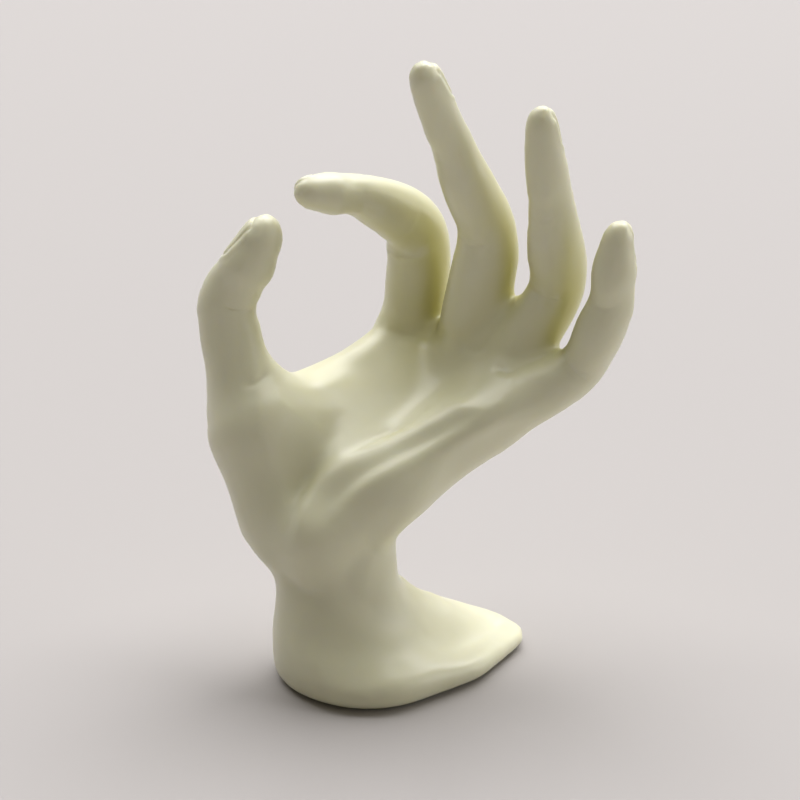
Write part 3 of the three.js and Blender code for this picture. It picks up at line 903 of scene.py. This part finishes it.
tree = skin_tree()
for name in FINGERS:
    knuckle = DIGITS[name]["spine"][0]
    tendon = line_on_back(tree, WRIST_BACK + (knuckle - WRIST_BACK) * TENDON_START, knuckle)
    brush(tendon, TENDON_WIDTH, TENDON_RISE)
    crown = line_on_back(tree, knuckle, DIGITS[name]["spine"][1], steps=2)
    brush(crown, KNUCKLE_WIDTH, KNUCKLE_RISE, fade=0)
print("tendons and knuckles:", len(FINGERS))

# %% [markdown]
# ## The underside
#
# The foot is cut flat and hollowed again. Boolean modifiers with plain cutters do that: the
# recess for the felt, the seat for the plug and the hollow for the filler. Their sizes leave
# a gap of 0.3 mm round the CAD pieces that sit in them.

# %% Cutters
UNDERSIDE = 0.7  # height of the foot's underside over the surface, in mm
GAP = 0.3  # in mm
REACH = 8  # how far the plug's cutter reaches below the foot, in mm
SEAT_SIDES = 96
plug_low, plug_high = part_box("closing_plug")
plug_radius = (plug_high[0] - plug_low[0]) / 2
print("plug radius in mm:", round(plug_radius / MM, 2))


def cut_from_skin(cutter):
    """Subtracts a cutter from the skin and deletes it."""
    cutting = skin.modifiers.new("cut", "BOOLEAN")
    cutting.operation = "DIFFERENCE"
    cutting.solver = "EXACT"
    cutting.object = cutter
    apply_modifiers(skin)
    bpy.data.objects.remove(cutter)


def fattened_copy(node, name):
    """A copy of a CAD node that is larger by the gap on all sides."""
    obj = copy_of_node(node, name)
    edit_all(obj, bpy.ops.transform.shrink_fatten, value=GAP * MM, use_even_offset=True)
    return obj


print("gap round the pieces in mm:", GAP)

# %% [markdown]
# A plane cuts the foot off flat. Then the recess, the seat and the hollow are taken out in
# that order, from the shallowest to the deepest.

# %% Cut the foot
edit_all(
    skin,
    bpy.ops.mesh.bisect,
    plane_co=(0, 0, UNDERSIDE * MM),
    plane_no=(0, 0, 1),
    clear_inner=True,
    use_fill=True,
)
cut_from_skin(fattened_copy("felt_pad", "recess_cutter"))

seat_height = plug_high[2] + GAP * MM
bpy.ops.object.select_all(action="DESELECT")
bpy.ops.mesh.primitive_cylinder_add(
    vertices=SEAT_SIDES,
    radius=plug_radius + GAP * MM,
    depth=seat_height + REACH * MM,
    location=(PLUG_AXIS[0] * MM, PLUG_AXIS[1] * MM, (seat_height - REACH * MM) / 2),
)
cut_from_skin(bpy.context.object)
cut_from_skin(fattened_copy("ballast", "hollow_cutter"))
skin.data.validate()  # drops the few faces that lie double
print("cut skin:", count(skin), "triangles")

# %% [markdown]
# ## The resin
#
# Polyresin is a filled plastic. Light goes a short way into it, so thin edges look lighter,
# and subsurface scattering gives the soft edges. The deeper yellow-green in the hollows is
# painted shade: the base colour darkens toward olive where the hand closes in round a place.
# For that each vertex gets the share of its view that other parts of the hand close in, found
# by shooting rays, and the colour follows that attribute. An ambient occlusion node would do
# the same, but an export can't keep it.

# %% Measure the hollows
HOLLOW_RAYS = 14
HOLLOW_REACH = 45 * MM
HOLLOW_ROUNDS = 12  # of evening out between neighbours
HOLLOW_LIFT = 0.2  # how far over the skin a ray starts, in mm


def spread_directions(number):
    """Directions spread evenly over the half sphere round +Z, as a spiral."""
    turns = math.pi * (3 - math.sqrt(5))
    heights = [1 - (i + 0.5) / number for i in range(number)]
    return [Vector((math.cos(turns * i) * math.sqrt(1 - z * z),
                    math.sin(turns * i) * math.sqrt(1 - z * z), z)) for i, z in enumerate(heights)]


def hollowness():
    """For each vertex of the skin, the share of its view that the skin itself closes, 0 to 1."""
    tree = skin_tree()
    rays = spread_directions(HOLLOW_RAYS)
    whole = sum(ray.z for ray in rays)
    closed = np.zeros(len(skin.data.vertices))
    for i, vertex in enumerate(skin.data.vertices):
        turn = vertex.normal.to_track_quat("Z", "Y")
        start = vertex.co + vertex.normal * HOLLOW_LIFT * MM
        hits = sum(ray.z for ray in rays if tree.ray_cast(start, turn @ ray, HOLLOW_REACH)[0] is not None)
        closed[i] = hits / whole
    return closed


def evened(values, rounds):
    """Averages each vertex's value with its neighbours', a number of rounds."""
    edges = np.empty(2 * len(skin.data.edges), dtype=np.int32)
    skin.data.edges.foreach_get("vertices", edges)
    first, second = edges.reshape(-1, 2).T
    number = len(values)
    degree = np.bincount(first, minlength=number) + np.bincount(second, minlength=number)
    for _ in range(rounds):
        around = np.bincount(first, values[second], number) + np.bincount(second, values[first], number)
        values = 0.5 * values + 0.5 * around / np.maximum(degree, 1)
    return values


hollow_share = evened(hollowness(), HOLLOW_ROUNDS)
hollow_layer = skin.data.attributes.new("hollow", "FLOAT", "POINT")
hollow_layer.data.foreach_set("value", hollow_share)
print("hollow share, mean:", round(float(hollow_share.mean()), 3),
      "most:", round(float(hollow_share.max()), 3))

# %% [markdown]
# Every finish here is a small tree of nodes, and the same few nodes come back in each: noise,
# a range, a mix of two colours and a bump. A helper adds each of them. All noise reads Object
# coordinates, so a pattern stays where it is on a piece, whatever its faces are.

# %% Helpers for materials
def new_material(name):
    """A new material, with its nodes, links and shader."""
    material = bpy.data.materials.new(name)
    material.use_nodes = True
    nodes = material.node_tree.nodes
    return material, nodes, material.node_tree.links, nodes["Principled BSDF"]


def add_noise(nodes, links, scale, detail, roughness=0.5):
    """A noise pattern on Object coordinates, with scale in features to a metre."""
    place = nodes.new("ShaderNodeTexCoord")
    noise = nodes.new("ShaderNodeTexNoise")
    noise.inputs["Scale"].default_value = scale
    noise.inputs["Detail"].default_value = detail
    noise.inputs["Roughness"].default_value = roughness
    links.new(place.outputs["Object"], noise.inputs["Vector"])
    return noise


def add_range(nodes, links, source, low, high, to_low, to_high):
    """Maps a value from one range to another and returns the node."""
    node = nodes.new("ShaderNodeMapRange")
    for socket, value in (("From Min", low), ("From Max", high), ("To Min", to_low), ("To Max", to_high)):
        node.inputs[socket].default_value = value
    links.new(source, node.inputs["Value"])
    return node


def add_mix(nodes, links, factor, first, second):
    """Mixes two colours, each given as a value or as a socket."""
    node = nodes.new("ShaderNodeMix")
    node.data_type = "RGBA"
    links.new(factor, node.inputs[0])
    for socket, colour in ((node.inputs[6], first), (node.inputs[7], second)):
        if isinstance(colour, tuple):
            socket.default_value = colour
        else:
            links.new(colour, socket)
    return node


def set_all(shader, settings):
    """Sets values that are the same all over a surface, on the shader's own sockets."""
    for name, value in settings.items():
        shader.inputs[name].default_value = value


def add_bump(nodes, links, shader, height, distance, strength):
    """A bump on the shader, distance in metres."""
    node = nodes.new("ShaderNodeBump")
    node.inputs["Distance"].default_value = distance
    node.inputs["Strength"].default_value = strength
    links.new(height, node.inputs["Height"])
    links.new(node.outputs["Normal"], shader.inputs["Normal"])


print("materials so far:", len(bpy.data.materials))

# %% [markdown]
# The resin's colour runs from pale ivory to olive in the hollows, and that olive is painted
# shade. Two noise patterns keep it from looking computed: a broad one that shifts the colour a
# little, as pigment does in a cast, and a finer one that makes the gloss uneven. A third gives
# the bump: the faint ripple of a hand-finished mould. A clear coat lies over it all.

# %% Resin
RESIN = (0.75, 0.73, 0.54, 1)
# painted shade: the olive that the base colour turns to in the hollows
RESIN_PAINTED_SHADE = (0.48, 0.445, 0.10, 1)
RESIN_SHIFT = (0.72, 0.71, 0.505, 1)
HOLLOW_FROM = 0.08  # the hollow share where the colour starts to deepen
HOLLOW_TO = 0.85  # and where it is deepest
RESIN_ROUGH = (0.36, 0.46)  # the smoothest and the roughest place


resin, nodes, links, shader = new_material("gloss_resin")
pigment = add_noise(nodes, links, 35, 3)
ivory = add_mix(nodes, links, pigment.outputs["Fac"], RESIN, RESIN_SHIFT)
hollows = nodes.new("ShaderNodeAttribute")
hollows.attribute_name = "hollow"
# painted shade: the base colour goes from ivory toward the olive shade colour as the hollow share grows
depth = add_range(nodes, links, hollows.outputs["Fac"], HOLLOW_FROM, HOLLOW_TO, 0, 1)
painted_shade = add_mix(nodes, links, depth.outputs["Result"], ivory.outputs[2], RESIN_PAINTED_SHADE)
links.new(painted_shade.outputs[2], shader.inputs["Base Color"])
handling = add_noise(nodes, links, 120, 4, 0.6)
gloss = add_range(nodes, links, handling.outputs["Fac"], 0.3, 0.7, *RESIN_ROUGH)
links.new(gloss.outputs["Result"], shader.inputs["Roughness"])
ripple = add_noise(nodes, links, 260, 2)
add_bump(nodes, links, shader, ripple.outputs["Fac"], 0.05 * MM, 0.25)
set_all(shader, {
    "Subsurface Weight": 0.25,
    "Subsurface Radius": (1.0, 0.8, 0.35),
    "Subsurface Scale": 3 * MM,
    "Coat Weight": 0.3,
    "Coat Roughness": 0.26,
})
skin.data.materials.clear()
skin.data.materials.append(resin)
select_only(skin)
bpy.ops.object.shade_smooth_by_angle(angle=math.radians(50))
print("resin on", len(skin.data.polygons), "faces")

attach(skin, "root")
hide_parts("hand_casting")

# %% [markdown]
# ## The pieces in the foot
#
# The felt is a die-cut sheet, so its cut edge is soft rather than sharp, and its face is not
# quite flat: the pressed fibres lie in low tufts. A bump alone would leave it a flat plate, so
# it is remeshed fine enough for the tufts to be real.

# %% Felt
FELT_EDGE = 0.3  # how wide the cut edge's rounding is, in mm
FELT_TUFT = 0.08  # how deep the tufts are, in mm
FELT_TUFT_LENGTH = 2.2
FELT_VOXEL = 0.3

felt = copy_of_node("felt_pad", "felt_sheet")
edit_all(felt, bpy.ops.mesh.dissolve_limited, angle_limit=math.radians(4))
rim = felt.modifiers.new("rim", "BEVEL")
rim.limit_method = "ANGLE"
rim.angle_limit = math.radians(50)
rim.width = FELT_EDGE * MM
rim.segments = 3
apply_modifiers(felt)
remesh = felt.modifiers.new("remesh", "REMESH")
remesh.mode = "VOXEL"
remesh.voxel_size = FELT_VOXEL * MM
apply_modifiers(felt)
felt_low, felt_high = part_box("felt_pad")
points = np.empty(3 * len(felt.data.vertices))
felt.data.vertices.foreach_get("co", points)
points = points.reshape(-1, 3)
places = points[:, :2] / MM * 2 * math.pi / FELT_TUFT_LENGTH
# two wandering waves, crossed, give tufts of uneven size
tufts = (0.5 + 0.25 * np.sin(places[:, 0] + 1.7 * np.sin(0.37 * places[:, 1]))
         + 0.25 * np.sin(0.83 * places[:, 1] + 1.9 * np.sin(0.31 * places[:, 0])))
downward = points[:, 2] < (felt_low[2] + felt_high[2]) / 2
points[:, 2] += downward * tufts * FELT_TUFT * MM
points[:, 2] = np.clip(points[:, 2], felt_low[2], felt_high[2])
felt.data.vertices.foreach_set("co", points.ravel())
felt.data.update()

# %% [markdown]
# Up close, felt is a mat of short fibres of slightly different shades, with no weave. A fine
# noise gives the strands and the bump, and a broad one blotches the ground under them. Sheen
# gives the soft edge that loose fibres make against the light.

# %% Fibres of the felt
FELT_DARK = (0.36, 0.335, 0.26, 1)
FELT_LIGHT = (0.43, 0.40, 0.315, 1)
FELT_STRAND = (0.56, 0.53, 0.44, 1)

felt_fibre, nodes, links, shader = new_material("felt_fibre")
fibres = add_noise(nodes, links, 2600, 5, 0.7)
blotches = add_noise(nodes, links, 160, 3)
blend = add_range(nodes, links, blotches.outputs["Fac"], 0.35, 0.65, 0, 1)
ground = add_mix(nodes, links, blend.outputs["Result"], FELT_DARK, FELT_LIGHT)
strands = add_range(nodes, links, fibres.outputs["Fac"], 0.4, 0.62, 0, 0.6)
wool = add_mix(nodes, links, strands.outputs["Result"], ground.outputs[2], FELT_STRAND)
links.new(wool.outputs[2], shader.inputs["Base Color"])
set_all(shader, {"Roughness": 0.95, "Sheen Weight": 0.5, "Sheen Roughness": 0.5})
add_bump(nodes, links, shader, fibres.outputs["Fac"], 0.25 * MM, 0.8)
felt.data.materials.append(felt_fibre)
select_only(felt)
bpy.ops.object.shade_smooth_by_angle(angle=math.radians(60))
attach(felt, "root")
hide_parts("felt_pad")
print("felt is", felt_fibre.name)

# %% [markdown]
# The plug is a plain moulded disc and the filler a poured stone mix. Both keep their CAD
# shapes and get a material of their own: fine mould grain on the plastic, and grains of
# several colours in the filler, from the cells of a Voronoi pattern.

# %% Plug and filler
PLASTIC = (0.60, 0.57, 0.46, 1)
PLASTIC_SHIFT = (0.66, 0.63, 0.52, 1)
PLASTIC_ROUGH = (0.42, 0.58)
GRAIN_DARK = (0.30, 0.28, 0.25, 1)
GRAIN_LIGHT = (0.62, 0.60, 0.55, 1)
CEMENT = (0.50, 0.48, 0.43, 1)
GRAINS = 900  # to a metre

plastic, nodes, links, shader = new_material("moulded_plastic")
streaks = add_noise(nodes, links, 60, 2)
body = add_mix(nodes, links, streaks.outputs["Fac"], PLASTIC, PLASTIC_SHIFT)
links.new(body.outputs[2], shader.inputs["Base Color"])
mould_grain = add_noise(nodes, links, 3500, 2)
satin = add_range(nodes, links, mould_grain.outputs["Fac"], 0.3, 0.7, *PLASTIC_ROUGH)
links.new(satin.outputs["Result"], shader.inputs["Roughness"])
add_bump(nodes, links, shader, mould_grain.outputs["Fac"], 0.04 * MM, 0.6)

stone, nodes, links, shader = new_material("cast_stone")
place = nodes.new("ShaderNodeTexCoord")
grains = nodes.new("ShaderNodeTexVoronoi")
grains.inputs["Scale"].default_value = GRAINS
links.new(place.outputs["Object"], grains.inputs["Vector"])
grain_shade = nodes.new("ShaderNodeSeparateColor")
links.new(grains.outputs["Color"], grain_shade.inputs["Color"])
mix_of_grains = add_mix(nodes, links, grain_shade.outputs["Red"], GRAIN_DARK, GRAIN_LIGHT)
cloud = add_noise(nodes, links, 90, 4)
cement = add_range(nodes, links, cloud.outputs["Fac"], 0.35, 0.7, 0.25, 0.7)
poured = add_mix(nodes, links, cement.outputs["Result"], mix_of_grains.outputs[2], CEMENT)
links.new(poured.outputs[2], shader.inputs["Base Color"])
shader.inputs["Roughness"].default_value = 0.9
add_bump(nodes, links, shader, grains.outputs["Distance"], 0.2 * MM, 0.5)

for node, material in (("closing_plug", plastic), ("ballast", stone)):
    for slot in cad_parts[node].material_slots:
        slot.material = material
    print(node, "is", material.name)

# %% [markdown]
# ## The studio
#
# The hand stands on a wide, plain, pale floor that takes its soft shadow.

# %% Floor
FLOOR_SIZE = 12
FLOOR = (0.432, 0.407, 0.403, 1)

bpy.ops.object.select_all(action="DESELECT")
bpy.ops.mesh.primitive_plane_add(size=FLOOR_SIZE, location=(0, 0, 0))
floor = bpy.context.object
floor.name = "floor"
floor_material, nodes, links, shader = new_material("floor")
shader.inputs["Base Color"].default_value = FLOOR
shader.inputs["Roughness"].default_value = 0.8
floor.data.materials.append(floor_material)
print("floor:", FLOOR_SIZE, "m")

# %% [markdown]
# The world gives a faint warm fill. What the camera and reflections see of it beyond the floor
# is pale. Light Path tells these rays apart, so the pale colour shows in the resin's gloss but
# adds no diffuse light.

# %% World
WORLD_LIGHT = (1.0, 0.92, 0.62, 1)
WORLD_STRENGTH = 0.05
BACKDROP = (0.70, 0.67, 0.66, 1)  # what the camera and reflections see beyond the floor

world = bpy.data.worlds.new("studio")
bpy.context.scene.world = world
world.use_nodes = True
background = world.node_tree.nodes["Background"]
background.inputs["Color"].default_value = WORLD_LIGHT
background.inputs["Strength"].default_value = WORLD_STRENGTH
nodes = world.node_tree.nodes
links = world.node_tree.links
backdrop = nodes.new("ShaderNodeBackground")
backdrop.inputs["Color"].default_value = BACKDROP
ray = nodes.new("ShaderNodeLightPath")
seen = ray.outputs["Is Camera Ray"]
for kind in ("Is Glossy Ray", "Is Transmission Ray"):
    either = nodes.new("ShaderNodeMath")
    either.operation = "MAXIMUM"
    links.new(seen, either.inputs[0])
    links.new(ray.outputs[kind], either.inputs[1])
    seen = either.outputs["Value"]
world_mix = nodes.new("ShaderNodeMixShader")
links.new(seen, world_mix.inputs[0])
links.new(background.outputs["Background"], world_mix.inputs[1])
links.new(backdrop.outputs["Background"], world_mix.inputs[2])
links.new(world_mix.outputs["Shader"], nodes["World Output"].inputs["Surface"])
print("world strength:", WORLD_STRENGTH)

# %% [markdown]
# Most light comes from above and from behind on both sides, which lights the rims and leaves
# the palm side soft and dim. A softbox could be an area lamp, but a sun with a wide angle is as
# soft and lights the hand evenly from top to bottom.

# %% Lights
WHITE = (1.0, 1.0, 1.0)
WARM = (1.0, 0.92, 0.66)
SOFT_ANGLE = math.radians(45)
# each: degrees round from the viewer toward the right, degrees up, strength and colour
SOFT_LIGHTS = {
    "left_back": (225, 60, 1.4, WHITE),
    "right_back": (135, 60, 1.9, WHITE),
    "back": (180, 60, 1.1, WHITE),
    "back_low": (180, 32, 0.3, WHITE),
    "right_back_low": (135, 32, 0.4, WHITE),
    "right_low": (90, 8, 0.9, WHITE),
    "front": (0, 60, 0.12, WARM),
    "front_low": (0, 8, 0.04, WARM),
}

for name, (around, up, strength, colour) in SOFT_LIGHTS.items():
    lamp_data = bpy.data.lights.new(name, "SUN")
    lamp_data.energy = strength
    lamp_data.color = colour
    lamp_data.angle = SOFT_ANGLE
    lamp = bpy.data.objects.new(name, lamp_data)
    bpy.context.scene.collection.objects.link(lamp)
    around = math.radians(around)
    up = math.radians(up)
    toward = Vector((math.sin(around) * math.cos(up), -math.cos(around) * math.cos(up), math.sin(up)))
    lamp.rotation_euler = toward.to_track_quat("Z", "Y").to_euler()
bpy.context.scene.view_settings.view_transform = "Standard"
print("lights:", len(SOFT_LIGHTS))
